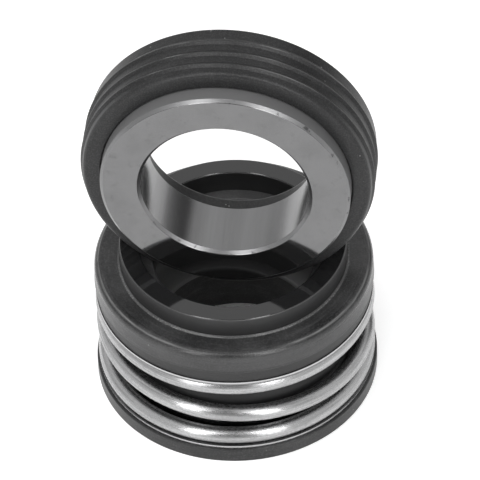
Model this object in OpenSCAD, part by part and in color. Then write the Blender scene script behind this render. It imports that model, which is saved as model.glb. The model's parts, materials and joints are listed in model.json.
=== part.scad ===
// Rubber-bellows mechanical seal for a 20 mm shaft, in millimetres.
// The rotating unit stands on its tail, and the stationary seat stands on edge in its face ring.
// The origin is the centre of the tail's underside, and +Z runs along the shaft to the lapped face.

/* [Shaft] */
// Diameter of the shaft that the seal is made for
shaft_d = 20; // [16:0.5:24]
// Squeeze of the bellows tail on the shaft, on the radius
tail_grip = 0.15; // [0.05:0.05:0.4]
// Room between the shaft and the inner lip of the bellows head, on the radius
lip_gap = 0.1; // [0.05:0.05:0.3]

/* [Rotating face ring] */
// Room between the shaft and the face ring's bore, on the radius
face_gap = 1.9; // [1.2:0.05:2.3]
// Width of the lapped face
face_width = 2.45; // [2:0.05:3.2]
// Height of the face ring above the shoulder of the rubber head
nose_h = 2.9; // [1.5:0.1:4]
// Depth that the face ring is pressed into the rubber head
ring_seat_depth = 3; // [2:0.1:3.6]
// Bevel on the edges of the lapped face
face_bevel = 0.15; // [0.05:0.05:0.4]

/* [Bellows] */
// How far the tail flange stands out past the spring, on the radius
tail_flange_out = 0.25; // [0:0.05:1]
// Thickness of the tail flange
tail_flange_t = 2.05; // [1.2:0.05:3]
// Height of the tail sleeve that grips the shaft
tail_sleeve_h = 6.8; // [6:0.1:7.6]
// How far the rubber head stays inside the spring's outer diameter, on the radius
head_in = 0.02; // [0:0.02:0.3]
// Height of the rubber head above its collar
head_h = 4.9; // [4.6:0.1:7]
// Draft of the head wall, at its foot
head_draft = 0.28; // [0:0.02:0.5]
// Rounding of the head's outer edge
head_round = 0.9; // [0.3:0.1:1.4]
// Drop of the inner lip below the shoulder
lip_drop = 0.15; // [0:0.05:0.6]
// Wall of the thin fold
fold_wall = 1.1; // [0.7:0.1:1.4]
// How far the thin fold bulges between the two collars
fold_bulge = 0.55; // [0.1:0.05:0.7]
// Rounding of the tail flange's rim
flange_round = 0.15; // [0.1:0.05:0.6]

/* [Spring] */
// Outer diameter of the coil spring
spring_od = 35.5; // [35:0.1:36]
// Diameter of the wire
wire_d = 2.1; // [1.6:0.05:2.2]
// Distance between the middles of the two closed end coils
coil_rise = 9; // [7.6:0.1:12]
// Angle over which the wire climbs
climb_angle = 530; // [500:5:560]
// Angle of each closed end coil
end_angle = 240; // [180:5:244]
// How much steeper the wire climbs next to its closed ends
climb_shape = 0.024; // [0:0.002:0.04]
// Compass angle where the upper closed coil begins to fall, from +X
climb_start = -30; // [-60:5:0]

/* [Spring collars] */
// Thickness of the pressed sheet
sheet = 0.45; // [0.3:0.05:0.7]
// How far the tail collar's flange stays inside the spring's outer diameter, on the radius
tail_collar_in = 0.05; // [0:0.05:0.8]
// How far the head collar's flange stays inside the spring's outer diameter, on the radius
head_collar_in = 0.15; // [0:0.05:0.8]
// Length of the tail collar's tube below the flange's upper face
tail_tube_h = 3.2; // [2.4:0.1:4.4]
// Length of the head collar's tube
head_tube_h = 3.6; // [2.4:0.1:4]
// Room between the spring and the collar tubes, on the radius
tube_gap = 0.3; // [0.15:0.05:0.5]
// Inside bend of the pressed corner
bend_r = 0.35; // [0.1:0.05:0.5]

/* [Seat ring] */
// Room between the shaft and the seat's bore, on the radius
seat_gap = 0.45; // [0.3:0.05:1.2]
// Width of the seat ring's lapped face with its bevels
seat_width = 5.05; // [4:0.05:6]
// Length of the hard seat ring
seat_ring_l = 8.2; // [7:0.1:10]
// Bevel on the edges of the hard seat ring
seat_bevel = 0.4; // [0.1:0.05:0.6]

/* [Seat cup] */
// Length of the seat ring that stands out of the rubber cup
seat_stand = 2.15; // [1:0.05:3]
// Thickness of the cup's rubber wall at the foot of its ribs
cup_wall = 2.45; // [1.8:0.05:3]
// Height of the ribs
rib_depth = 0.35; // [0.15:0.05:0.5]
// Thickness of the cup's back wall
cup_back_t = 2.1; // [0.8:0.1:2.6]
// Rounding of the cup's front edge
cup_round = 1.1; // [0.6:0.1:1.3]
// Rounding of the cup's back edges
cup_back_round = 0.4; // [0.2:0.1:0.8]
// Room between the seat's bore and the hole in the cup's back wall, on the radius
cup_hole_gap = 0.7; // [0.1:0.05:1]

/* [Pose of the loose seat] */
// Turn of the seat about the shaft axis, its lapped face to the front
seat_turn = 7.4; // [-20:0.2:20]
// Air left where the seat rests on the face ring
rest_gap = 0.02; // [0.02:0.02:0.3]

/* [Hidden] */
$fn = 96;
arc_steps = 8;
fold_steps = 16;
wire_sides = 14;
coil_steps = 30;

shaft_r = shaft_d / 2;
tail_bore_r = shaft_r - tail_grip;
lip_r = shaft_r + lip_gap;
face_bore_r = shaft_r + face_gap;
face_r = face_bore_r + face_width;
face_ring_h = nose_h + ring_seat_depth;

unit_r = spring_od / 2;
spring_r = unit_r - wire_d / 2;
tube_r = unit_r - wire_d - tube_gap;
flange_r = unit_r + tail_flange_out;
head_r = unit_r - head_in;
sleeve_r = tube_r - sheet;

collar_z = tail_flange_t;
low_coil_z = collar_z + sheet + wire_d / 2;
high_coil_z = low_coil_z + coil_rise;
head_collar_z = high_coil_z + wire_d / 2;
head_z = head_collar_z + sheet;
shoulder_z = head_z + head_h;
face_z = shoulder_z + nose_h;
groove_z = shoulder_z - ring_seat_depth;
lip_z = shoulder_z - lip_drop;

tail_tube_z = collar_z + tail_tube_h;
head_tube_z = head_collar_z + sheet - head_tube_h;

seat_bore_r = shaft_r + seat_gap;
seat_ring_r = seat_bore_r + seat_width;
cup_l = seat_ring_l - seat_stand + cup_back_t;
cup_floor_r = seat_ring_r + cup_wall;
cup_r = cup_floor_r + rib_depth;
cup_hole_r = seat_bore_r + cup_hole_gap;
cup_mouth_cut = 0.35;

// Ribs: shares of the cup's length and of the pitch, and the small flats beside each crest
rib_count = 3;
rib_pitch_share = 0.254;
first_rib_share = 0.05;
rib_front_share = 0.22;
crest_half = 0.12;
crest_drop = 0.05;
rib_pitch = cup_l * rib_pitch_share;
first_rib = cup_round + cup_l * first_rib_share;
rib_rise = rib_pitch * rib_front_share;

// The cup's middle stands over the shaft axis, so its back edge meets the face ring's bore first.
cup_half = cup_l / 2;
rib_reach = pow(cup_r, 2) + pow(cup_half - first_rib, 2);
back_reach = pow(cup_floor_r, 2) + pow(cup_half, 2);
seat_lift = sqrt(max(rib_reach, back_reach) - pow(face_bore_r, 2)) + rest_gap;
seat_z = face_z + seat_lift;

// Points of an arc about c, of radius r, from angle a to angle b
function arc(c, r, a, b) = [for (i = [0:arc_steps]) let (t = a + (b - a) * i / arc_steps)
    [c[0] + r * cos(t), c[1] + r * sin(t)]];

// Thin fold: where it starts and ends, and how far it dips in next to the collars' tubes
fold_room = 0.25;
fold_land = 0.4;
fold_dip = 0.35;
fold_low_z = tail_tube_z + fold_room;
fold_high_z = head_tube_z - fold_room;
fold_in_r = sleeve_r - fold_wall - fold_dip;
inner_fold_z = tail_sleeve_h + 0.5;
neck_z = head_tube_z + 1.5;

// Small cuts and steps of the moulded rubber
edge_cut = 0.3;
mouth_cut = 0.4;
head_belly_z = head_z + head_h * 0.4;
head_top_in = 0.12;
ledge_step = 0.5;
ledge_z = groove_z - 0.8;

// The fold's outside at a share t of its height: it dips at both collars and bulges between
function fold_r(t) = sleeve_r - fold_dip + (fold_bulge + fold_dip) * pow(sin(180 * t), 2);
function fold_z(t) = fold_low_z + (fold_high_z - fold_low_z) * t;

// Outline of one half of the bellows, from the underside of the tail and round the outside
function bellows_outline() = concat(
    [[tail_bore_r, 0]],
    arc([flange_r - flange_round, flange_round], flange_round, -90, 0),
    arc([flange_r - flange_round, collar_z - flange_round], flange_round, 0, 90),
    [[sleeve_r, collar_z], [sleeve_r, fold_low_z - fold_land]],
    [for (i = [0:fold_steps]) let (t = i / fold_steps) [fold_r(t), fold_z(t)]],
    [[sleeve_r, fold_high_z + fold_land], [sleeve_r, head_z]],
    [[head_r - head_draft, head_z], [head_r, head_belly_z]],
    arc([head_r - head_round - head_top_in, shoulder_z - head_round], head_round, 0, 90),
    [[face_r + edge_cut, shoulder_z], [face_r, shoulder_z + edge_cut]],
    [[face_r, groove_z], [face_bore_r, groove_z]],
    [[face_bore_r, lip_z], [lip_r + edge_cut, lip_z], [lip_r, lip_z - edge_cut]],
    [[lip_r, ledge_z], [lip_r + ledge_step, ledge_z - ledge_step], [fold_in_r, neck_z]],
    [for (i = [fold_steps:-1:0]) let (t = i / fold_steps)
        if (fold_z(t) > inner_fold_z) [fold_r(t) - fold_wall, fold_z(t)]],
    [[fold_in_r, tail_sleeve_h + mouth_cut / 2], [fold_in_r - mouth_cut, tail_sleeve_h]],
    [[tail_bore_r + mouth_cut, tail_sleeve_h], [tail_bore_r, tail_sleeve_h - mouth_cut]]
);

// One moulded rubber piece: tail flange, gripping sleeve, thin fold and head with the ring's groove
module bellows() {
    color([0.16, 0.16, 0.17])
        rotate_extrude()
            polygon(bellows_outline());
}

// Pressed L-section ring of outer radius r: a flat flange at z = 0 and a tube of height h upwards
module collar(r, h) {
    rotate_extrude()
        polygon(concat(
            [[r, 0], [r, sheet]],
            arc([tube_r + bend_r, sheet + bend_r], bend_r, 270, 180),
            [[tube_r, h], [sleeve_r, h], [sleeve_r, 0]]
        ));
}

// Lower collar, which passes the spring's push to the tail flange
module tail_collar() {
    color([0.72, 0.72, 0.73])
        translate([0, 0, collar_z])
            collar(unit_r - tail_collar_in, tail_tube_h);
}

// Upper collar, which passes the spring's push to the rubber head
module head_collar() {
    color([0.72, 0.72, 0.73])
        translate([0, 0, head_z])
            mirror([0, 0, 1])
                collar(unit_r - head_collar_in, head_tube_h);
}

// Height of the wire's middle, at an angle counted from the free end of the upper closed coil
full_angle = 2 * end_angle + climb_angle;
function climb_share(a) = min(1, max(0, (a - end_angle) / climb_angle));
function wire_z(a) = let (t = climb_share(a)) high_coil_z - coil_rise * (t + climb_shape * sin(360 * t));

// Point on the wire's skin at angle a, at angle b round the wire
function wire_point(a, b) = let (r = spring_r + wire_d / 2 * cos(b), t = climb_start - end_angle + a)
    [r * cos(t), r * sin(t), wire_z(a) + wire_d / 2 * sin(b)];

// Coil spring with both end coils closed, wound anticlockwise downwards
module spring() {
    rings = round(full_angle / 360 * coil_steps);
    skin = [for (i = [0:rings]) for (j = [0:wire_sides - 1])
        wire_point(full_angle * i / rings, 360 * j / wire_sides)];
    sides = [for (i = [0:rings - 1]) for (j = [0:wire_sides - 1]) let (k = (j + 1) % wire_sides)
        [i * wire_sides + j, i * wire_sides + k, (i + 1) * wire_sides + k, (i + 1) * wire_sides + j]];
    first_end = [for (j = [wire_sides - 1:-1:0]) j];
    last_end = [for (j = [0:wire_sides - 1]) rings * wire_sides + j];
    color([0.75, 0.75, 0.76])
        polyhedron(points = skin, faces = concat(sides, [first_end, last_end]), convexity = 6);
}

// Hard rotating ring with the lapped sealing face, pressed into the groove of the rubber head
module face_ring() {
    color([0.33, 0.33, 0.35])
        translate([0, 0, groove_z])
            rotate_extrude()
                polygon([
                    [face_bore_r, 0],
                    [face_r, 0],
                    [face_r, face_ring_h - face_bevel],
                    [face_r - face_bevel, face_ring_h],
                    [face_bore_r + face_bevel, face_ring_h],
                    [face_bore_r, face_ring_h - face_bevel]
                ]);
}

// Places a seat piece that is drawn along +Z, with its lapped face at z = 0 turned to the front
module as_rested() {
    translate([0, 0, seat_z])
        rotate([0, 0, -seat_turn])
            translate([0, -seat_stand - cup_half, 0])
                rotate([-90, 0, 0])
                    children();
}

// Hard stationary ring with the mating lapped face
module seat_ring() {
    color([0.55, 0.55, 0.57])
        as_rested()
            rotate_extrude()
                polygon([
                    [seat_bore_r + seat_bevel, 0],
                    [seat_ring_r - seat_bevel, 0],
                    [seat_ring_r, seat_bevel],
                    [seat_ring_r, seat_ring_l - seat_bevel],
                    [seat_ring_r - seat_bevel, seat_ring_l],
                    [seat_bore_r + seat_bevel, seat_ring_l],
                    [seat_bore_r, seat_ring_l - seat_bevel],
                    [seat_bore_r, seat_bevel]
                ]);
}

// One rib of the cup: a steep front flank, a narrow crest and a long slope to the back
function rib(z) = [
    [cup_floor_r, z - rib_rise],
    [cup_r - crest_drop, z - crest_half],
    [cup_r, z],
    [cup_r - crest_drop, z + crest_half]
];

// Outline of one half of the cup, from its front edge and round the outside
function cup_outline() = concat(
    [[seat_ring_r, seat_stand + cup_mouth_cut], [seat_ring_r + cup_mouth_cut, seat_stand]],
    arc([cup_floor_r - cup_round, seat_stand + cup_round], cup_round, -90, -20),
    [for (i = [0:rib_count - 1]) each rib(seat_stand + first_rib + rib_pitch * i)],
    arc([cup_floor_r - cup_back_round, seat_stand + cup_l - cup_back_round], cup_back_round, 0, 90),
    arc([cup_hole_r + cup_back_round, seat_stand + cup_l - cup_back_round], cup_back_round, 90, 180),
    [[cup_hole_r, seat_ring_l], [seat_ring_r - seat_bevel, seat_ring_l]],
    [[seat_ring_r, seat_ring_l - seat_bevel]]
);

// Ribbed rubber cup that holds the seat ring and seals in the housing
module seat_cup() {
    color([0.18, 0.18, 0.19])
        as_rested()
            rotate_extrude()
                polygon(cup_outline());
}

bellows();
tail_collar();
spring();
head_collar();
face_ring();
seat_ring();
seat_cup();
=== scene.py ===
"""Dresses a rubber-bellows mechanical seal as it stands in its photograph.

Lathe-turned rings, a wound spring and procedural finishes stand in the frame of the CAD part.
"""

import json
import math

import bmesh
import bpy
from mathutils import Matrix, Vector


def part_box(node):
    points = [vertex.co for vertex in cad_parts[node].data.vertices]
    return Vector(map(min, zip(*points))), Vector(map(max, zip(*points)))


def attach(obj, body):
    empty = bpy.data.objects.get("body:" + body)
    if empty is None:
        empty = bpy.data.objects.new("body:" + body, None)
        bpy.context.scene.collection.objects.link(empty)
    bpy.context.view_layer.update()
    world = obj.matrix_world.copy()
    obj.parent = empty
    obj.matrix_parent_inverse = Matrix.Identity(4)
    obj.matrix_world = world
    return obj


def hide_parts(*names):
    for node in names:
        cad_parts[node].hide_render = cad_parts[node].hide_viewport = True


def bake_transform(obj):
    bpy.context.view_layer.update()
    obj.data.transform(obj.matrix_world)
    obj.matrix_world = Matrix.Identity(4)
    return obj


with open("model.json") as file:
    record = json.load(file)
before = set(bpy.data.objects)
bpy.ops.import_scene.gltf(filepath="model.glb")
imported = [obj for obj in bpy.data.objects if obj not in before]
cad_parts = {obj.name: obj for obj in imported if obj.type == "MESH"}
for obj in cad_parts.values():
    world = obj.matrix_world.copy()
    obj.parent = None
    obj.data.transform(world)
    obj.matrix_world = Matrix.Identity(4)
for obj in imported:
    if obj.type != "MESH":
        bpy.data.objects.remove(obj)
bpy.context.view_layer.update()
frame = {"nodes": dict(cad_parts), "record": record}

bl_info = {
    "name": "Mechanical Seal Dresser",
    "version": (1, 0, 0),
    "blender": (4, 5, 0),
    "location": "3D View > Sidebar > Seal",
    "description": "Builds the visible pieces of a rubber-bellows seal and their finishes",
    "category": "Add Mesh",
}

MM = 0.001
HEAD_BODY = "head"
REST_PLACE = "rest_place"  # the mesh attribute that keeps a turned piece's first coordinates


def node_low(node):
    """Lowest height of a CAD node, in metres."""
    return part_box(node)[0][2]


def node_high(node):
    """Highest height of a CAD node, in metres."""
    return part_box(node)[1][2]


def node_radius(node):
    """Largest radius of a CAD node that is round about the shaft axis, in metres."""
    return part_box(node)[1][1]


def mount(name):
    """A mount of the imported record."""
    return next(m for m in frame["record"]["mounts"] if m["name"] == name)


SHAFT_BORE = mount("shaft_bore")
SEAT_BORE = mount("seat_bore")


def length(name, default, description):
    """A size that a user can change, kept in metres."""
    return bpy.props.FloatProperty(
        name=name, description=description, default=default, unit="LENGTH", precision=5, min=0.0
    )


def angle(name, default, description):
    """An angle that a user can change, given in degrees."""
    return bpy.props.FloatProperty(
        name=name, description=description, default=math.radians(default), subtype="ANGLE"
    )


def tint(name, default, description):
    """A colour that a user can change."""
    return bpy.props.FloatVectorProperty(
        name=name,
        description=description,
        default=default,
        subtype="COLOR",
        size=3,
        min=0.0,
        max=1.0,
    )


def share(name, default, description, high=1.0):
    """A plain number that a user can change."""
    return bpy.props.FloatProperty(
        name=name, description=description, default=default, min=0.0, max=high
    )


class UnitSizes(bpy.types.PropertyGroup):
    """Sizes of the rotating unit."""

    flange_t: length("Tail flange", 2.05 * MM, "Thickness of the tail flange")
    sheet: length("Collar sheet", 0.45 * MM, "Thickness of the pressed collars")
    wire: length("Wire", 2.1 * MM, "Diameter of the spring wire")
    coil_rise: length("Coil rise", 9.0 * MM, "Distance between the middles of the two closed coils")
    spring_r: length("Spring radius", 17.75 * MM, "Radius over the spring")
    climb: angle("Climb", 530.0, "Angle over which the wire climbs")
    closed: angle("Closed coil", 240.0, "Angle of each closed end coil")
    climb_start: angle("Climb start", -30.0, "Compass angle where the upper coil begins to fall")
    climb_shape: share("Climb shape", 0.024, "How much steeper the wire climbs next to its ends")
    sleeve_r: length("Sleeve radius", 14.9 * MM, "Radius of the rubber inside the collars")
    sleeve_h: length("Sleeve height", 6.8 * MM, "Height of the sleeve that grips the shaft")
    tail_tube: length("Tail tube", 3.2 * MM, "Length of the tail collar's tube")
    head_tube: length("Head tube", 3.6 * MM, "Length of the head collar's tube")
    fold_wall: length("Fold wall", 1.1 * MM, "Wall of the thin fold")
    fold_bulge: length("Fold bulge", 0.55 * MM, "How far the fold bulges past the sleeve")
    fold_dip: length("Fold dip", 0.35 * MM, "How far the fold dips in at each collar")
    head_r: length("Head radius", 17.73 * MM, "Largest radius of the rubber head")
    head_h: length("Head height", 4.9 * MM, "Height of the rubber head above its collar")
    head_draft: length("Head draft", 0.28 * MM, "How far the head draws in at its foot")
    head_round: length("Head rounding", 0.9 * MM, "Rounding of the head's outer edge")
    lip_r: length("Lip radius", 10.1 * MM, "Radius of the head's inner lip")
    lip_drop: length("Lip drop", 0.15 * MM, "Drop of the inner lip below the shoulder")
    face_bore_r: length("Face ring bore", 11.9 * MM, "Radius of the rotating ring's bore")
    face_r: length("Face ring radius", 14.35 * MM, "Outer radius of the rotating ring")
    ring_depth: length("Ring depth", 3.0 * MM, "Depth of the rotating ring in the rubber")


class SeatSizes(bpy.types.PropertyGroup):
    """Sizes of the stationary seat, which is drawn along its own axis from the lapped face."""

    bore_r: length("Seat bore", SEAT_BORE["dims"]["r_mm"] * MM, "Radius of the seat's bore")
    width: length("Seat width", 5.05 * MM, "Width of the lapped face with its bevels")
    ring_l: length("Seat length", 8.2 * MM, "Length of the hard seat ring")
    bevel: length("Seat bevel", 0.4 * MM, "Bevel on the seat ring's edges")
    stand: length("Seat stand", 2.15 * MM, "How far the ring stands out of its cup")
    wall: length("Cup wall", 2.45 * MM, "Rubber wall at the foot of the ribs")
    rib_h: length("Rib height", 0.35 * MM, "Height of the ribs")
    back_t: length("Cup back", 2.1 * MM, "Thickness of the cup's back wall")
    front_round: length("Cup rounding", 1.1 * MM, "Rounding of the cup's front edge")
    back_round: length("Cup back rounding", 0.4 * MM, "Rounding of the cup's back edges")
    hole_gap: length("Hole gap", 0.7 * MM, "Room from the seat's bore to the hole in the cup")
    ribs: bpy.props.IntProperty(
        name="Ribs", description="Number of ribs round the cup", default=3, min=1
    )


class SealFinish(bpy.types.PropertyGroup):
    """Colours of the finishes."""

    rubber: tint("Rubber", (0.014, 0.014, 0.0145), "Moulded black rubber")
    bloom: tint("Bloom", (0.085, 0.085, 0.086), "Grey bloom and dust on the rubber")
    wire: tint("Wire", (0.475, 0.475, 0.479), "Drawn spring wire")
    sheet: tint("Sheet", (0.56, 0.56, 0.565), "Pressed collar sheet")
    rolled: tint("Rolled sheet", (0.36, 0.36, 0.365), "Rolling lines on the collar sheet")
    # Painted shade on the collar sheet outside its bright band.
    dull: tint("Dull sheet", (0.2, 0.2, 0.202), "Collar sheet away from its sheared edge")
    carbide: tint("Carbide", (0.2, 0.2, 0.202), "Lapped face of the hard ring")
    ground: tint("Ground", (0.27, 0.27, 0.273), "Ground bore and bevels of the hard ring")
    flank: tint("Flank", (0.175, 0.175, 0.177), "Dull flank of the hard ring")
    carbon: tint("Carbon", (0.014, 0.014, 0.0145), "Black carbon of the rotating ring")
    # Painted highlight colour for the rubber's crests and rims.
    worn: tint("Worn crests", (0.24, 0.24, 0.24), "Rubbed crests of the rubber")
    dust: tint("Dust", (0.42, 0.42, 0.42), "Dust caught in creases")


class StageSettings(bpy.types.PropertyGroup):
    """Camera, world, lamps and cards."""

    elevation: angle("Elevation", 45.0, "Height of the camera above the horizon")
    lean: angle("Lean", -2.18, "Roll of the camera")
    distance: length("Distance", 0.605, "Distance of the camera from its target")
    scale: share("Scale", 7946.0, "Pixels of the photograph for each metre at the target", 1e5)
    target: bpy.props.FloatVectorProperty(
        name="Target",
        description="Point that the camera looks at",
        size=3,
        unit="LENGTH",
        default=(0.882 * MM, 0.0, 21.532 * MM),
    )
    world: share("World", 0.4, "Plain light from all round")
    lamp: share("Lamp", 1.9, "Brightness of the strips and soft boxes", 10.0)
    front_card: share("Front card", 0.28, "Grey of the card behind the camera")
    back_card: share("Back card", 0.02, "Grey of the card behind the seal on the right")


PHOTO_WIDTH = 480  # pixels


class Shade:
    """A shader value that can be used in Python sums."""

    def __init__(self, wiring, socket):
        self.wiring = wiring
        self.socket = socket

    def __add__(self, other):
        return self.wiring.maths("ADD", self, other)

    def __radd__(self, other):
        return self.wiring.maths("ADD", other, self)

    def __sub__(self, other):
        return self.wiring.maths("SUBTRACT", self, other)

    def __rsub__(self, other):
        return self.wiring.maths("SUBTRACT", other, self)

    def __mul__(self, other):
        return self.wiring.maths("MULTIPLY", self, other)

    def __rmul__(self, other):
        return self.wiring.maths("MULTIPLY", other, self)

    def __truediv__(self, other):
        return self.wiring.maths("DIVIDE", self, other)

    def __rtruediv__(self, other):
        return self.wiring.maths("DIVIDE", other, self)

    def __gt__(self, other):
        return self.wiring.maths("GREATER_THAN", self, other)

    def __lt__(self, other):
        return self.wiring.maths("LESS_THAN", self, other)

    def step(self, low, high):
        """0 below low, 1 above high and smooth between them."""
        return self.wiring.add(
            "ShaderNodeMapRange",
            {"interpolation_type": "SMOOTHSTEP"},
            {"Value": self, "From Min": low, "From Max": high},
        )

    def between(self, low, high, soft):
        """1 from low to high, falling to 0 over the soft distance outside them."""
        return self.step(low - soft, low) * (1 - self.step(high, high + soft))


class Wiring:
    """A node tree under construction."""

    def __init__(self, tree):
        self.tree = tree
        tree.nodes.clear()

    def add(self, kind, settings=None, inputs=None, output=0):
        """Adds a node, makes its settings, feeds its sockets and returns one of its outputs."""
        node = self.tree.nodes.new(kind)
        for name, value in (settings or {}).items():
            setattr(node, name, value)
        for key, value in (inputs or {}).items():
            self.feed(self.find(node.inputs, key), value)
        return Shade(self, self.find(node.outputs, output)) if node.outputs else None

    @staticmethod
    def find(sockets, key):
        """A socket by its number, identifier or name."""
        if isinstance(key, int):
            return sockets[key]
        for socket in sockets:
            if socket.identifier == key and socket.enabled:
                return socket
        return sockets[key]

    def feed(self, socket, value):
        """Links a shader value to a socket, or sets a plain one on it."""
        if isinstance(value, Shade):
            self.tree.links.new(value.socket, socket)
        elif isinstance(value, (tuple, list)) and socket.type == "RGBA":
            socket.default_value = (*value[:3], 1.0)
        else:
            socket.default_value = value

    def maths(self, operation, *values):
        """One Math node on numbers or shader values."""
        return self.add("ShaderNodeMath", {"operation": operation}, dict(enumerate(values)))

    def rays(self, *kinds):
        """1 on light rays of any of these kinds, else 0."""
        path = self.add("ShaderNodeLightPath").socket.node
        found, *others = [Shade(self, path.outputs[f"Is {kind} Ray"]) for kind in kinds]
        for other in others:
            found = self.maths("MAXIMUM", found, other)
        return found


class Finish(Wiring):
    """A material under construction: one Principled shader and the nodes that feed it."""

    def __init__(self, name, **constants):
        self.material = bpy.data.materials.new(name)
        self.material.use_nodes = True
        super().__init__(self.material.node_tree)
        self.principled = self.tree.nodes.new("ShaderNodeBsdfPrincipled")
        output = self.tree.nodes.new("ShaderNodeOutputMaterial")
        self.tree.links.new(self.principled.outputs["BSDF"], output.inputs["Surface"])
        for socket, value in constants.items():
            self.principled.inputs[socket.replace("_", " ")].default_value = value

    def drive(self, name, value):
        """Feeds one socket of the Principled shader."""
        self.feed(self.principled.inputs[name], value)

    def place(self):
        """The piece's own coordinates, in metres."""
        return self.add("ShaderNodeTexCoord", output="Object")

    def rest_place(self):
        """The coordinates that a turned piece was made with, which it keeps when compressed."""
        return self.add("ShaderNodeAttribute", {"attribute_name": REST_PLACE}, output="Vector")

    def uv(self):
        """The piece's unwrapped coordinates."""
        return self.add("ShaderNodeTexCoord", output="UV")

    def split(self, vector):
        """The three parts of a vector."""
        node = self.add("ShaderNodeSeparateXYZ", inputs={0: vector}).socket.node
        return [Shade(self, socket) for socket in node.outputs]

    def join(self, x, y, z):
        """A vector from its three parts."""
        return self.add("ShaderNodeCombineXYZ", inputs={0: x, 1: y, 2: z})

    def round_place(self, place=None):
        """Share of a turn about the piece's axis, radius and height, the last two in metres."""
        x, y, z = self.split(place or self.place())
        turn = self.maths("ARCTAN2", y, x) / math.tau
        radius = self.maths("SQRT", x * x + y * y)
        return turn, radius, z

    def circle(self, turn):
        """The point of a unit circle at a share of a turn, so that noise has no seam there."""
        angle = turn * math.tau
        return self.maths("COSINE", angle), self.maths("SINE", angle)

    def noise(self, vector, scale, detail=3.0, roughness=0.55):
        """Smooth noise from 0 to 1."""
        return self.add(
            "ShaderNodeTexNoise",
            {"normalize": True},
            {"Vector": vector, "Scale": scale, "Detail": detail, "Roughness": roughness},
            output="Fac",
        )

    def turned_noise(self, round_place, per_turn, per_metre, detail, roughness):
        """Noise drawn out round the axis, as turning leaves it, by its waves a turn and a metre."""
        turn, radius, z = round_place
        vector = self.join(turn * per_turn, radius * per_metre, z * per_metre)
        return self.noise(vector, 1.0, detail, roughness)

    def circle_noise(self, circle, length, around, along, detail, roughness):
        """Noise on a tube, by its waves around the tube and along its length."""
        x, y = circle
        vector = self.join(x * around, y * around, length * along)
        return self.noise(vector, 1.0, detail, roughness)

    def specks(self, vector, scale, size):
        """1 on small round specks scattered through space, else 0."""
        distance = self.add(
            "ShaderNodeTexVoronoi",
            {"feature": "F1"},
            {"Vector": vector, "Scale": scale},
            output="Distance",
        )
        return 1 - distance.step(size * 0.5, size)

    def beside(self, radius, z, ring, reach):
        """1 on a ring given as (radius, height), falling to 0 at reach from it."""
        out, up = radius - ring[0], z - ring[1]
        near = self.maths("SQRT", out * out + up * up)
        return 1 - near.step(reach * 0.1, reach)

    def blend(self, factor, first, second):
        """Goes from the first colour to the second."""
        return self.add(
            "ShaderNodeMix",
            {"data_type": "RGBA"},
            {"Factor_Float": factor, "A_Color": first, "B_Color": second},
            output="Result_Color",
        )

    def bump(self, height, strength, distance):
        """Raises the surface by a height, at most by a distance in metres."""
        inputs = {"Height": height, "Strength": strength, "Distance": distance}
        self.drive("Normal", self.add("ShaderNodeBump", inputs=inputs, output="Normal"))


def darker(colour, part):
    """A colour with a part of its brightness."""
    return tuple(c * part for c in colour)


# Waves of noise for each metre of a piece.
RUBBER_CLOUD = 150.0
RUBBER_PORES = 1500.0
RUBBER_GRAIN = 5200.0
DUST_SPECKS = 560.0
DUST_PATCHES = 110.0
RING_CLOUD = 210.0
RING_STAIN = 620.0
RING_LAPPING = 1900.0
CARBON_CLOUD = 300.0
WIRE_SPECKS = 2600.0

# How far the marks on the rubber reach, in metres.
BAND_SOFT = 0.15 * MM
CREST_CORE = 0.02 * MM
CREST_REACH = 0.1 * MM
CREASE_REACH = 0.3 * MM
RIM_REACH = 0.22 * MM
POLISH_REACH = 1.6 * MM


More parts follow.
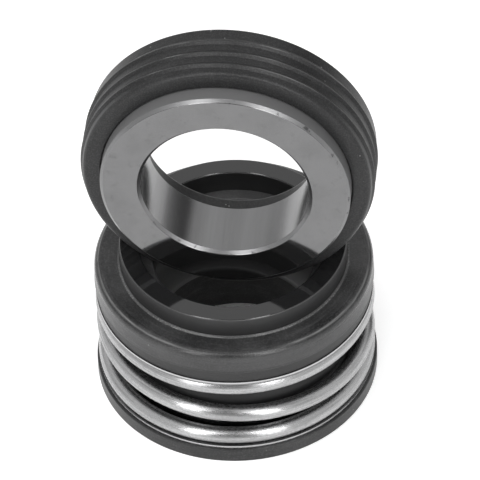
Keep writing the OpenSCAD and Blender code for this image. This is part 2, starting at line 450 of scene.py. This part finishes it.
def moulded_rubber(
    name, finish, bloomed, ior, crests=(), creases=(), edges=(), highlight_rims=(), bands=()
):
    """Satin black rubber: grey bloom, fine grain, dust and painted highlights.

    Crests are heights, creases, edges and highlight_rims are (radius, height) pairs and bands are
    (low, high, inner radius, outer radius, added bloom), all in the piece's own metres. Crests and
    highlight_rims get painted highlights, creases get dust with a painted highlight, and edges are
    polished. Bands add bloom, which the bellows also uses as painted sheen and painted shade. A
    band of more than 1 also turns towards the dust colour, and one below 0 is darker and duller.
    """
    paint = Finish(name, IOR=ior)
    place = paint.rest_place()
    turned = paint.round_place(place)
    _, radius, z = turned
    cloud = paint.noise(place, RUBBER_CLOUD, detail=4.0, roughness=0.62)
    streak = paint.turned_noise(turned, per_turn=9.0, per_metre=1400.0, detail=4.0, roughness=0.65)
    wipe = paint.turned_noise(turned, per_turn=26.0, per_metre=4200.0, detail=3.0, roughness=0.6)
    grain = paint.noise(place, RUBBER_GRAIN, detail=2.0, roughness=0.55)
    pores = paint.noise(place, RUBBER_PORES, detail=2.0, roughness=0.5)
    wiped = wipe.step(0.5, 0.7) * streak.step(0.42, 0.6)
    bloom = cloud.step(0.3, 0.75) * 0.4 + streak.step(0.42, 0.75) * 0.1 + wiped * 0.3
    bloom = bloom * bloomed + grain.step(0.44, 0.66) * 0.33
    matt = 0.0
    # Bands add to the bloom; on the bellows some are painted sheen and painted shade.
    for low, high, inner, outer, added in bands:
        inside = z.between(low, high, BAND_SOFT) * (radius > inner) * (radius < outer)
        bloom = bloom + inside * added
        if added < 0:
            matt = matt - inside * added
    base = paint.blend(bloom, tuple(finish.rubber), tuple(finish.bloom))
    base = paint.blend(bloom.step(1.2, 3.0) * 0.4, base, tuple(finish.dust))

    # 0 at the front and the back of the piece, 1 at its sides.
    across = paint.maths("ABSOLUTE", paint.split(place)[0] / radius)
    # Painted highlights: each crest is lightened with the worn colour, most at the piece's sides.
    for height in crests:
        near = paint.maths("ABSOLUTE", z - height)
        rub = 1 - near.step(CREST_CORE, CREST_REACH)
        rub = rub * (0.15 + wipe.step(0.4, 0.66) * cloud.step(0.36, 0.6))
        base = paint.blend(rub * across.step(0.08, 0.34) * 0.85, base, tuple(finish.worn))
    # Dust caught in the crease with a painted highlight: strongest a little to either side of the
    # front.
    for ring in creases:
        dust_and_highlight = 0.25 + grain.step(0.45, 0.7) * cloud.step(0.4, 0.62)
        dust_and_highlight = dust_and_highlight * paint.beside(radius, z, ring, CREASE_REACH)
        highlight_spread = 0.1 + across.step(0.03, 0.25) * (1 - across.step(0.35, 0.6) * 0.4) * 0.8
        base = paint.blend(dust_and_highlight * highlight_spread, base, tuple(finish.dust))
    # Painted highlight: a thin line of the worn colour on the rim, only towards the sides.
    for ring in highlight_rims:
        rub = paint.beside(radius, z, ring, RIM_REACH) * (0.3 + wipe.step(0.35, 0.6) * 0.6)
        base = paint.blend(rub * across.step(0.25, 0.5), base, tuple(finish.worn))
    polish = 0.0
    for ring in edges:
        polish = polish + paint.beside(radius, z, ring, POLISH_REACH) * (0.1 + wipe * 0.12)
    patches = paint.noise(place, DUST_PATCHES, detail=1.0) > 0.5
    dust = paint.specks(place, DUST_SPECKS, size=0.06) * patches
    base = paint.blend(dust * 0.85, base, tuple(finish.dust))
    paint.drive("Base Color", base)
    rough = 0.26 + cloud * 0.12 + wipe * 0.05 + dust * 0.2 + matt * 0.2
    paint.drive("Roughness", rough - polish)
    relief = grain + pores * 0.4 + wipe * 0.15 + dust * 2.0
    paint.bump(relief, strength=0.55, distance=0.05 * MM)
    return paint.material


def drawn_wire(name, finish):
    """Satin drawn wire with fine draw lines along its length and darker rub marks."""
    paint = Finish(name, Metallic=1.0, Anisotropic=0.85, Anisotropic_Rotation=0.25)
    u, v, _ = paint.split(paint.uv())
    circle = paint.circle(u)
    lines = paint.circle_noise(circle, v, around=9.0, along=3.0, detail=4.0, roughness=0.7)
    fine = paint.circle_noise(circle, v, around=34.0, along=22.0, detail=3.0, roughness=0.6)
    rub = paint.circle_noise(circle, v, around=3.0, along=11.0, detail=4.0, roughness=0.65)
    speck = paint.noise(paint.place(), WIRE_SPECKS, detail=2.0, roughness=0.5)
    dark = (1 - rub.step(0.34, 0.6)) * lines.step(0.36, 0.62)
    bright = tuple(finish.wire)
    dull = dark * 0.6 + fine.step(0.48, 0.76) * 0.5 + speck.step(0.5, 0.7) * 0.15
    paint.drive("Base Color", paint.blend(dull, bright, darker(bright, 0.4)))
    paint.drive("Roughness", 0.16 + fine * 0.1 + dark * 0.1 + speck * 0.1)
    relief = lines * 0.8 + fine * 0.6 + speck * 0.4
    paint.bump(relief, strength=0.24, distance=0.03 * MM)
    return paint.material


def pressed_sheet(name, finish, low, high):
    """Rolled sheet: bright on its sheared edge between two heights, elsewhere painted shade."""
    paint = Finish(name, Metallic=1.0)
    turned = paint.round_place()
    lines = paint.turned_noise(turned, per_turn=30.0, per_metre=9000.0, detail=3.0, roughness=0.6)
    # Painted shade: outside the bright band the sheet takes the dull colour.
    dull = 1 - turned[2].between(low, high, 0.04 * MM)
    base = paint.blend(lines * 0.3, tuple(finish.sheet), tuple(finish.rolled))
    paint.drive("Base Color", paint.blend(dull, base, tuple(finish.dull)))
    paint.drive("Roughness", 0.2 + lines * 0.12)
    paint.bump(lines, strength=0.2, distance=0.01 * MM)
    return paint.material


def lapped_ring(name, finish, face_z, bore_r, outer_r):
    """Hard grey ring: a mirror-lapped face, a ground bore marked along its axis, a dull flank.

    Broad dark bands along the bore are painted reflections.
    """
    paint = Finish(name)
    place = paint.place()
    turn, radius, z = paint.round_place()
    above = paint.maths("ABSOLUTE", z - face_z)
    lapped = 1 - above.step(0.02 * MM, 0.06 * MM)
    flank = radius.step(outer_r - 0.03 * MM, outer_r - 0.005 * MM)
    bore = 1 - radius.step(bore_r + 0.005 * MM, bore_r + 0.03 * MM)
    bevel = (1 - lapped) * (1 - bore)
    circle = paint.circle(turn)
    # Broad bands round the bore, used as painted reflections.
    bands = paint.circle_noise(circle, z, around=3.2, along=20.0, detail=3.0, roughness=0.55)
    marks = paint.circle_noise(circle, z, around=70.0, along=130.0, detail=3.0, roughness=0.65)
    cloud = paint.noise(place, RING_CLOUD, detail=4.0, roughness=0.62)
    stain = paint.noise(place, RING_STAIN, detail=5.0, roughness=0.7)
    lapping = paint.noise(place, RING_LAPPING, detail=2.0, roughness=0.5)
    face, ground = tuple(finish.carbide), tuple(finish.ground)
    worn = cloud.step(0.4, 0.75) * 0.3 + stain.step(0.54, 0.7) * 0.35
    base = paint.blend(worn * lapped, face, darker(face, 0.62))
    base = paint.blend(1 - lapped, base, darker(ground, 0.75))
    base = paint.blend(bore, base, ground)
    base = paint.blend(bevel * stain.step(0.6, 0.68) * 0.7, base, tuple(finish.rubber))
    # Painted reflection: broad dark bands along the bore's axis, mixed with its fine marks.
    marks_and_painted_reflection = bore * (bands.step(0.35, 0.7) * 0.35 + marks * 0.35)
    base = paint.blend(marks_and_painted_reflection, base, darker(ground, 0.6))
    base = paint.blend(flank, base, tuple(finish.flank))
    paint.drive("Base Color", base)
    paint.drive("Metallic", 0.95 - flank * 0.85)
    dull = (1 - lapped) * (0.1 + marks * 0.1) + bevel * 0.1
    paint.drive("Roughness", 0.05 + cloud * 0.04 + dull + flank * 0.3)
    relief = marks * bore * 0.6 + lapping * 0.04 + stain * flank * 0.4
    paint.bump(relief, strength=0.2, distance=0.012 * MM)
    return paint.material


def carbon_ring(name, finish, face_z):
    """Black carbon ring: a polished face that mirrors like dark glass, and a duller wall."""
    paint = Finish(name, IOR=1.72)
    turned = paint.round_place()
    above = paint.maths("ABSOLUTE", turned[2] - face_z)
    wall = above.step(0.02 * MM, 0.08 * MM)
    marks = paint.turned_noise(turned, per_turn=60.0, per_metre=5000.0, detail=3.0, roughness=0.6)
    cloud = paint.noise(paint.place(), CARBON_CLOUD, detail=4.0, roughness=0.6)
    black = paint.blend(cloud * 0.25 * wall, tuple(finish.carbon), tuple(finish.bloom))
    paint.drive("Base Color", black)
    paint.drive("Roughness", 0.06 + cloud * 0.03 + wall * (0.3 + marks * 0.1))
    paint.bump(marks * wall, strength=0.2, distance=0.01 * MM)
    return paint.material


ROUNDING_STEPS = 6  # pieces of each arc in an outline
FINE_ROUNDING_STEPS = 3  # the same on the small edges of the hard rings
RING_SLICES = 256  # sections round a rubber piece
FINE_RING_SLICES = 384  # the same on the hard rings, whose faces mirror
SHARP_ANGLE = math.radians(50)  # edges that turn more than this aren't shaded smooth
HOLDING = 0.12  # of an arc's reach, from the arc to its holding points


def outline(corners, steps=ROUNDING_STEPS):
    """A closed outline from (radius, height, rounding) corners, in metres.

    Each rounding is an arc with a holding point on the straight line at either side.
    """
    points = []
    for i, (r, z, rounding) in enumerate(corners):
        here = Vector((r, z))
        if rounding <= 0:
            points.append(here)
            continue
        before = Vector(corners[i - 1][:2]) - here
        after = Vector(corners[(i + 1) % len(corners)][:2]) - here
        half = before.angle(after) / 2
        reach = min(rounding / math.tan(half), before.length * 0.49, after.length * 0.49)
        before.normalize()
        after.normalize()
        start = here + before * reach
        end = here + after * reach
        radius = reach * math.tan(half)
        centre = here + (before + after).normalized() * (radius / math.sin(half))
        first = start - centre
        sweep = first.angle_signed(end - centre)
        points.append(start + before * reach * HOLDING)
        for k in range(steps + 1):
            spoke = first.copy()
            spoke.rotate(Matrix.Rotation(-sweep * k / steps, 2))
            points.append(centre + spoke)
        points.append(end + after * reach * HOLDING)
    return points


def lathe(name, points, material, slices=RING_SLICES):
    """Turns a closed outline about the Z axis into a smooth ring."""
    mesh = bpy.data.meshes.new(name)
    work = bmesh.new()
    rings = []
    for k in range(slices):
        a = math.tau * k / slices
        rings.append(
            [work.verts.new((p[0] * math.cos(a), p[0] * math.sin(a), p[1])) for p in points]
        )
    count = len(points)
    for k in range(slices):
        this, following = rings[k], rings[(k + 1) % slices]
        for i in range(count):
            j = (i + 1) % count
            work.faces.new((this[i], following[i], following[j], this[j])).smooth = True
    bmesh.ops.recalc_face_normals(work, faces=work.faces)
    work.to_mesh(mesh)
    work.free()
    places = mesh.attributes.new(REST_PLACE, "FLOAT_VECTOR", "POINT")
    places.data.foreach_set("vector", [c for vertex in mesh.vertices for c in vertex.co])
    mesh.materials.append(material)
    mesh.set_sharp_from_angle(angle=SHARP_ANGLE)
    piece = bpy.data.objects.new(name, mesh)
    bpy.context.scene.collection.objects.link(piece)
    return piece


def paint_node(node, material):
    """Gives a CAD node one material."""
    for slot in frame["nodes"][node].material_slots:
        slot.material = material


def seat_pose():
    """The place of what is drawn along +Z from the seat's lapped face, by its bore mount."""
    forward = Vector(SEAT_BORE["axis"]).normalized()
    seat = bpy.context.scene.seal_seat
    front = Vector(SEAT_BORE["pos_m"]) + forward * (seat.ring_l / 2)
    back = -forward
    right = Vector((0, 0, 1)).cross(back).normalized()
    up = back.cross(right)
    pose = Matrix((right, up, back)).transposed().to_4x4()
    pose.translation = front
    return pose


class BuildPiece:
    """What every building operator shares."""

    bl_options = {"REGISTER", "UNDO"}

    @classmethod
    def poll(cls, context):
        return context.mode == "OBJECT"


FOLD_STEPS = 24
FOLD_GAP = 0.25 * MM  # from the end of a collar's tube to the fold
FOLD_LEAD = 0.4 * MM  # straight rubber under each tube's end
FOLD_TOP = 1.75 * MM  # from the fold up to where the rubber's inside draws in
HEAD_BELLY = 0.4  # share of the head's height at which it is widest
BELLY_ROUND = 1.0 * MM
HEAD_TAPER = 0.12 * MM  # how far the head draws in towards its shoulder
RING_BEVEL = 0.3 * MM  # fillet of rubber round the foot of the face ring's nose
LIP_BELOW = 0.8 * MM  # depth of the lip's straight bore under the face ring's groove
LIP_FLARE = 0.5 * MM  # how far the rubber opens out below that
SLEEVE_ROUND = 0.4 * MM  # rounding of the gripping sleeve's top
MOULD_EDGE = 0.15 * MM  # rounding of the rubber's plain edges
MOULD_SHARP = 0.05 * MM  # rounding of its sharp edges, next to the rings


class SEAL_OT_bellows(BuildPiece, bpy.types.Operator):
    """Turn the rubber bellows, which stretches between the tail and the head"""

    bl_idname = "seal.bellows"
    bl_label = "Bellows"

    def execute(self, context):
        size = context.scene.seal_unit
        bore = SHAFT_BORE["dims"]["r_mm"] * MM
        flange_r = node_radius("bellows")
        head_z = node_high("head_collar")
        shoulder = head_z + size.head_h
        groove = shoulder - size.ring_depth
        lip = shoulder - size.lip_drop
        tail_end = size.flange_t + size.tail_tube
        head_end = head_z - size.head_tube
        fold_low = tail_end + FOLD_GAP
        fold_high = head_end - FOLD_GAP

        def fold(wall):
            """The fold's outline at a depth of wall under its outer face."""
            for i in range(FOLD_STEPS + 1):
                t = i / FOLD_STEPS
                r = size.sleeve_r - size.fold_dip
                r += (size.fold_bulge + size.fold_dip) * math.sin(math.pi * t) ** 2
                yield r - wall, fold_low + (fold_high - fold_low) * t, 0

        inner = [p for p in fold(size.fold_wall) if p[1] > size.sleeve_h + 0.5 * MM]
        fold_in = size.sleeve_r - size.fold_dip - size.fold_wall
        corners = [
            (bore, 0, MOULD_EDGE),
            (flange_r, 0, MOULD_EDGE),
            (flange_r, size.flange_t, MOULD_EDGE),
            (size.sleeve_r, size.flange_t, 0),
            (size.sleeve_r, fold_low - FOLD_LEAD, 0),
            *fold(0),
            (size.sleeve_r, fold_high + FOLD_LEAD, 0),
            (size.sleeve_r, head_z, 0),
            (size.head_r - size.head_draft, head_z, MOULD_EDGE),
            (size.head_r, head_z + size.head_h * HEAD_BELLY, BELLY_ROUND),
            (size.head_r - HEAD_TAPER, shoulder, size.head_round),
            (size.face_r + RING_BEVEL, shoulder, MOULD_EDGE),
            (size.face_r, shoulder + RING_BEVEL, MOULD_SHARP),
            (size.face_r, groove, 0),
            (size.face_bore_r, groove, 0),
            (size.face_bore_r, lip, MOULD_SHARP),
            (size.lip_r, lip, 0.35 * MM),
            (size.lip_r, groove - LIP_BELOW, 0.2 * MM),
            (size.lip_r + LIP_FLARE, groove - LIP_BELOW - LIP_FLARE, 0.4 * MM),
            (fold_in, fold_high + FOLD_TOP, 0.6 * MM),
            *reversed(inner),
            (fold_in, size.sleeve_h + 0.2 * MM, 0),
            (fold_in - SLEEVE_ROUND, size.sleeve_h, 0),
            (bore, size.sleeve_h, SLEEVE_ROUND),
        ]
        wall_top = shoulder - size.head_round * 0.5
        coils_low, coils_high = size.flange_t + 0.4 * MM, head_z - 0.4 * MM
        ledge_low, ledge_high = size.sleeve_h - 0.3 * MM, size.sleeve_h + 1.0 * MM
        material = moulded_rubber(
            "bellows_rubber",
            context.scene.seal_finish,
            bloomed=1.25,
            ior=1.47,
            creases=((size.face_r + 0.15 * MM, shoulder),),
            edges=((size.head_r - 0.4 * MM, shoulder - 0.4 * MM),),
            # a painted highlight line on the rounded rim of the head
            highlight_rims=((size.head_r - 0.57 * MM, shoulder - 0.12 * MM),),
            bands=(
                # The tail flange.
                (0, size.flange_t, bore, flange_r * 2, -0.2),
                # The fold behind the coils, darkened as painted shade.
                (coils_low, coils_high, size.sleeve_r - 0.5 * MM, flange_r, -1.0),
                # Lower head wall darkened as painted shade, upper wall lightened as painted sheen.
                (head_z, head_z + size.head_h * 0.36, size.sleeve_r, flange_r, -0.75),
                (head_z + size.head_h * 0.46, wall_top, size.sleeve_r, flange_r, 0.4),
                # The top of the gripping sleeve and the inside above it, made lighter.
                (ledge_low, ledge_high, bore * 0.5, size.sleeve_r, 4.0),
                (size.sleeve_h + 1.2 * MM, shoulder, bore, size.face_bore_r + 0.05 * MM, 1.2),
            ),
        )
        piece = lathe("rubber_bellows", outline(corners), material)
        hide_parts("bellows")
        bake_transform(piece)
        return {"FINISHED"}


WIRE_RINGS = 420  # sections along the wire
WIRE_SIDES = 28  # points round each
WIRE_END_ROUND = 0.25 * MM  # bevel of the wire's cut ends
SMALL_TURN = 0.002  # radians either side of a place on the wire, to find its direction


class SEAL_OT_spring(BuildPiece, bpy.types.Operator):
    """Wind the coil spring, with both end coils closed"""

    bl_idname = "seal.spring"
    bl_label = "Spring"

    def execute(self, context):
        size = context.scene.seal_unit
        wire_r = size.wire / 2
        middle_r = size.spring_r - wire_r
        top = node_low("head_collar") + size.head_tube - size.sheet - wire_r
        turn = 2 * size.closed + size.climb

        def centre(a):
            """The middle of the wire at an angle along it, counted from its upper end."""
            t = min(1.0, max(0.0, (a - size.closed) / size.climb))
            z = top - size.coil_rise * (t + size.climb_shape * math.sin(math.tau * t))
            compass = size.climb_start - size.closed + a
            return Vector((middle_r * math.cos(compass), middle_r * math.sin(compass), z))

        def frame_at(a):
            """The directions out, up and ahead of the wire at an angle along it."""
            ahead = (centre(a + SMALL_TURN) - centre(a - SMALL_TURN)).normalized()
            out = centre(a).xy.to_3d().normalized()
            out = (out - ahead * out.dot(ahead)).normalized()
            return out, ahead.cross(out), ahead

        mesh = bpy.data.meshes.new("coil_spring")
        work = bmesh.new()
        layer = work.loops.layers.uv.new("wire")
        # Each station is an angle along the wire, a shift back from it and the wire's radius.
        stations = [(turn * i / WIRE_RINGS, 0.0, wire_r) for i in range(WIRE_RINGS + 1)]
        for cut in (WIRE_END_ROUND * 0.3, WIRE_END_ROUND):
            stations.insert(0, (0.0, cut, wire_r - cut))
            stations.append((turn, -cut, wire_r - cut))
        grid = []
        for a, shift, radius in stations:
            out, up, ahead = frame_at(a)
            place = centre(a) - ahead * shift
            spokes = (math.tau * k / WIRE_SIDES for k in range(WIRE_SIDES))
            rim = [place + (out * math.cos(s) + up * math.sin(s)) * radius for s in spokes]
            grid.append([work.verts.new(point) for point in rim])
        for i in range(len(grid) - 1):
            for k in range(WIRE_SIDES):
                n = (k + 1) % WIRE_SIDES
                face = work.faces.new((grid[i][k], grid[i][n], grid[i + 1][n], grid[i + 1][k]))
                face.smooth = True
                places = ((i, k), (i, k + 1), (i + 1, k + 1), (i + 1, k))
                for loop, (row, col) in zip(face.loops, places):
                    loop[layer].uv = (col / WIRE_SIDES, stations[row][0] / math.tau)
        work.faces.new(grid[0])
        work.faces.new(grid[-1])
        bmesh.ops.recalc_face_normals(work, faces=work.faces)
        work.to_mesh(mesh)
        work.free()
        mesh.materials.append(drawn_wire("spring_wire", context.scene.seal_finish))
        piece = bpy.data.objects.new("coil_spring", mesh)
        context.scene.collection.objects.link(piece)
        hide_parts("spring")
        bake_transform(piece)
        return {"FINISHED"}


class SEAL_OT_collars(BuildPiece, bpy.types.Operator):
    """Give the two pressed collars their sheet-metal finish"""

    bl_idname = "seal.collars"
    bl_label = "Collars"

    def execute(self, context):
        size = context.scene.seal_unit
        head_z = node_high("head_collar")
        # Heights of each collar's bright band; the sheet outside it is painted shade.
        edges = {
            "tail_collar": (size.flange_t + size.sheet * 0.2, size.flange_t + size.sheet * 0.92),
            "head_collar": (head_z - size.sheet * 0.5, head_z),
        }
        for node, (low, high) in edges.items():
            paint_node(node, pressed_sheet(node + "_sheet", context.scene.seal_finish, low, high))
        return {"FINISHED"}


FACE_EDGE = 0.12 * MM  # bevel of the rotating ring's edges
FACE_SOFT = 0.03 * MM  # rounding of that bevel's edges
FACE_FOOT = 0.1 * MM  # rounding of the rotating ring's foot
SEAT_SOFT = 0.04 * MM  # rounding of the seat ring's edges


class SEAL_OT_face_ring(BuildPiece, bpy.types.Operator):
    """Turn the rotating ring with its lapped face"""

    bl_idname = "seal.face_ring"
    bl_label = "Face ring"

    def execute(self, context):
        size = context.scene.seal_unit
        top = node_high("face_ring")
        low = node_low("face_ring")
        corners = [
            (size.face_bore_r, low, FACE_FOOT),
            (size.face_r, low, FACE_FOOT),
            (size.face_r, top - FACE_EDGE, FACE_SOFT),
            (size.face_r - FACE_EDGE, top, FACE_SOFT),
            (size.face_bore_r + FACE_EDGE, top, FACE_SOFT),
            (size.face_bore_r, top - FACE_EDGE, FACE_SOFT),
        ]
        profile = outline(corners, FINE_ROUNDING_STEPS)
        material = carbon_ring("face_ring_finish", context.scene.seal_finish, top)
        piece = lathe("rotating_face_ring", profile, material, FINE_RING_SLICES)
        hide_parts("face_ring")
        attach(piece, HEAD_BODY)
        return {"FINISHED"}


class SEAL_OT_seat_ring(BuildPiece, bpy.types.Operator):
    """Turn the stationary ring with its lapped face and ground bore"""

    bl_idname = "seal.seat_ring"
    bl_label = "Seat ring"

    def execute(self, context):
        size = context.scene.seal_seat
        bore, outer = size.bore_r, size.bore_r + size.width
        b = size.bevel
        corners = [
            (bore + b, 0, SEAT_SOFT),
            (outer - b, 0, SEAT_SOFT),
            (outer, b, SEAT_SOFT),
            (outer, size.ring_l - b, SEAT_SOFT),
            (outer - b, size.ring_l, SEAT_SOFT),
            (bore + b, size.ring_l, SEAT_SOFT),
            (bore, size.ring_l - b, SEAT_SOFT),
            (bore, b, SEAT_SOFT),
        ]
        profile = outline(corners, FINE_ROUNDING_STEPS)
        material = lapped_ring("seat_ring_finish", context.scene.seal_finish, 0.0, bore, outer)
        piece = lathe("stationary_seat_ring", profile, material, FINE_RING_SLICES)
        piece.matrix_world = seat_pose()
        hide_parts("seat_ring")
        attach(piece, HEAD_BODY)
        return {"FINISHED"}


RIB_PITCH = 0.254  # distance between ribs, as a share of the cup's length
RIB_LEAD = 0.05  # from the front rounding to the first rib, as such a share
RIB_ROUND = 0.1 * MM  # rounding of a rib's crest
CUP_LIP = 0.2 * MM  # bevel of the cup's mouth round the seat ring


class SEAL_OT_seat_cup(BuildPiece, bpy.types.Operator):
    """Turn the ribbed rubber cup of the seat"""

    bl_idname = "seal.seat_cup"
    bl_label = "Seat cup"

    def execute(self, context):
        size = context.scene.seal_seat
        ring_r = size.bore_r + size.width
        floor_r = ring_r + size.wall
        cup_l = size.ring_l - size.stand + size.back_t
        end = size.stand + cup_l
        pitch = cup_l * RIB_PITCH
        first = size.stand + size.front_round + cup_l * RIB_LEAD
        hole_r = size.bore_r + size.hole_gap
        crest_r = floor_r + size.rib_h
        crests = [first + pitch * i for i in range(size.ribs)]
        ribs = []
        for z in crests:
            ribs.append((floor_r, z - pitch * 0.2, MOULD_EDGE))
            ribs.append((crest_r, z, RIB_ROUND))
            ribs.append((floor_r, z + pitch * 0.3, MOULD_EDGE))
        corners = [
            (ring_r, size.stand + CUP_LIP, MOULD_SHARP),
            (ring_r + CUP_LIP, size.stand, MOULD_EDGE),
            (floor_r - 0.1 * MM, size.stand, size.front_round),
            *ribs,
            (floor_r, end, size.back_round),
            (hole_r, end, size.back_round),
            (hole_r, size.ring_l, 0),
            (ring_r - size.bevel, size.ring_l, 0),
            (ring_r, size.ring_l - size.bevel, 0),
        ]
        front = (size.stand - 0.1 * MM, size.stand + 0.3 * MM, ring_r * 0.5, floor_r, 0.1)
        material = moulded_rubber(
            "cup_rubber",
            context.scene.seal_finish,
            bloomed=0.3,
            ior=1.37,
            crests=crests,
            bands=(front,),
        )
        piece = lathe("ribbed_seat_cup", outline(corners), material)
        piece.matrix_world = seat_pose()
        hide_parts("seat_cup")
        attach(piece, HEAD_BODY)
        return {"FINISHED"}


WHITE = 1.0  # strength of the plain white background
FLOOR_GLOW = 0.56  # light that the floor gives off, which lifts it to white
FLOOR_SIDE = 6.0  # metres, as are the next three
LAMP_DISTANCE = 0.8
CARD_DISTANCE = 0.86
CAMERA_NEAR = 0.01


def sheet_mesh(name, wide, tall):
    """A flat rectangle about its own middle."""
    mesh = bpy.data.meshes.new(name)
    x, y = wide / 2, tall / 2
    mesh.from_pydata([(-x, -y, 0), (x, -y, 0), (x, y, 0), (-x, y, 0)], [], [(0, 1, 2, 3)])
    return mesh


class SEAL_OT_stage(BuildPiece, bpy.types.Operator):
    """Set the floor, the lamps, the world and the camera"""

    bl_idname = "seal.stage"
    bl_label = "Stage"

    def execute(self, context):
        stage = context.scene.seal_stage
        self.make_world(context, stage)
        self.make_floor(context)
        self.make_lamps(context, stage)
        self.make_cards(context, stage)
        self.make_camera(context, stage)
        context.scene.view_settings.view_transform = "Standard"
        return {"FINISHED"}

    def make_world(self, context, stage):
        """A plain world, white where it is seen or mirrored and dimmer as a light."""
        world = bpy.data.worlds.new("studio")
        world.use_nodes = True
        sky = Wiring(world.node_tree)
        seen = sky.rays("Camera", "Glossy", "Transmission")
        levels = {"Value": seen, "To Min": stage.world, "To Max": WHITE}
        strength = sky.add("ShaderNodeMapRange", inputs=levels)
        background = sky.add("ShaderNodeBackground", inputs={"Strength": strength})
        sky.add("ShaderNodeOutputWorld", inputs={"Surface": background})
        context.scene.world = world

    def make_floor(self, context):
        """White paper that keeps the shadow and doesn't glow under the seal."""
        mesh = sheet_mesh("floor", FLOOR_SIDE, FLOOR_SIDE)
        paint = Finish(
            "floor_paper",
            Base_Color=(0.95, 0.95, 0.95, 1.0),
            Roughness=0.9,
            Specular_IOR_Level=0.0,
            Emission_Strength=1.0,
        )
        _, radius, _ = paint.round_place()
        flange_r = node_radius("bellows")
        clear = radius.step(flange_r * 0.8, flange_r)
        glow = paint.rays("Camera", "Glossy") * clear
        paint.drive("Emission Color", paint.blend(glow, (0.0, 0.0, 0.0), (FLOOR_GLOW,) * 3))
        mesh.materials.append(paint.material)
        floor = bpy.data.objects.new("floor", mesh)
        context.scene.collection.objects.link(floor)

    def make_lamps(self, context, stage):
        """Strips that only gleam and soft boxes that only light.

        Each is given by azimuth, elevation, width, height and share of the lamp.
        """
        for name, azimuth, height, wide, tall, power, gleams in (
            ("left_strip", -34.0, 40.0, 0.18, 0.9, 2.7, True),
            ("right_strip", 24.0, 40.0, 0.18, 0.9, 3.0, True),
            ("top_strip", 0.0, 88.0, 0.9, 0.75, 0.12, True),
            ("front_box", 0.0, 46.0, 0.4, 0.4, 1.95, False),
            ("left_box", -74.0, 66.0, 0.5, 0.5, 1.4, False),
        ):
            lamp = bpy.data.lights.new(name, "AREA")
            lamp.shape = "RECTANGLE"
            lamp.size = wide
            lamp.size_y = tall
            lamp.energy = stage.lamp * power * math.pi * wide * tall
            holder = bpy.data.objects.new(name, lamp)
            holder.matrix_world = self.aimed(stage, azimuth, height, LAMP_DISTANCE)
            holder.visible_glossy = gleams
            holder.visible_diffuse = not gleams
            context.scene.collection.objects.link(holder)

    def make_cards(self, context, stage):
        """Grey cards that only shiny surfaces see, given as the lamps are, with a grey each."""
        for name, azimuth, height, wide, tall, grey in (
            ("front_card", 0.0, 45.0, 0.9, 1.4, stage.front_card),
            ("right_back_card", 137.0, 12.0, 0.3, 0.52, stage.back_card),
            ("left_back_card", -137.0, 16.0, 0.18, 0.3, stage.back_card + 0.4),
        ):
            mesh = sheet_mesh(name, wide, tall)
            paint = Finish(
                name,
                Base_Color=(0.0, 0.0, 0.0, 1.0),
                Specular_IOR_Level=0.0,
                Emission_Color=(grey, grey, grey, 1.0),
                Emission_Strength=1.0,
            )
            mesh.materials.append(paint.material)
            card = bpy.data.objects.new(name, mesh)
            card.matrix_world = self.aimed(stage, azimuth, height, CARD_DISTANCE)
            card.visible_camera = False
            card.visible_diffuse = False
            card.visible_shadow = False
            context.scene.collection.objects.link(card)

    def aimed(self, stage, azimuth, height, distance):
        """A place round the target that looks at it, with its azimuth counted from the front."""
        side, rise = math.radians(azimuth), math.radians(height)
        level = math.cos(rise)
        away = Vector((math.sin(side) * level, -math.cos(side) * level, math.sin(rise)))
        pose = away.to_track_quat("Z", "Y").to_matrix().to_4x4()
        pose.translation = Vector(stage.target) + away * distance
        return pose

    def make_camera(self, context, stage):
        """The camera that was fitted to the photograph."""
        rise, lean = stage.elevation, stage.lean
        back = Vector((0, -math.cos(rise), math.sin(rise)))
        level = Vector((1, 0, 0))
        plumb = back.cross(level)
        right = level * math.cos(lean) + plumb * math.sin(lean)
        up = plumb * math.cos(lean) - level * math.sin(lean)
        data = bpy.data.cameras.new("camera")
        data.lens = stage.scale * stage.distance / PHOTO_WIDTH * data.sensor_width
        data.clip_start = CAMERA_NEAR
        camera = bpy.data.objects.new("camera", data)
        pose = Matrix((right, up, back)).transposed().to_4x4()
        pose.translation = Vector(stage.target) + back * stage.distance
        camera.matrix_world = pose
        context.scene.collection.objects.link(camera)
        context.scene.camera = camera


BUILDERS = (
    SEAL_OT_bellows,
    SEAL_OT_spring,
    SEAL_OT_collars,
    SEAL_OT_face_ring,
    SEAL_OT_seat_ring,
    SEAL_OT_seat_cup,
    SEAL_OT_stage,
)


class SEAL_PT_pieces(bpy.types.Panel):
    """Lists the pieces of the seal"""

    bl_label = "Mechanical Seal"
    bl_space_type = "VIEW_3D"
    bl_region_type = "UI"
    bl_category = "Seal"

    def draw(self, context):
        for builder in BUILDERS:
            self.layout.operator(builder.bl_idname)
        for group in GROUPS:
            box = self.layout.box()
            settings = getattr(context.scene, group)
            for name in settings.bl_rna.properties.keys():
                if name not in ("rna_type", "name"):
                    box.prop(settings, name)


GROUPS = {
    "seal_unit": UnitSizes,
    "seal_seat": SeatSizes,
    "seal_finish": SealFinish,
    "seal_stage": StageSettings,
}
CLASSES = (*GROUPS.values(), *BUILDERS, SEAL_PT_pieces)


def register():
    for item in CLASSES:
        bpy.utils.register_class(item)
    for name, group in GROUPS.items():
        setattr(bpy.types.Scene, name, bpy.props.PointerProperty(type=group))


def unregister():
    for name in GROUPS:
        delattr(bpy.types.Scene, name)
    for item in reversed(CLASSES):
        bpy.utils.unregister_class(item)


def main():
    """Builds the whole seal."""
    register()
    bpy.ops.seal.bellows()
    bpy.ops.seal.spring()
    bpy.ops.seal.collars()
    bpy.ops.seal.face_ring()
    bpy.ops.seal.seat_ring()
    bpy.ops.seal.seat_cup()
    bpy.ops.seal.stage()


if __name__ == "__main__":
    main()
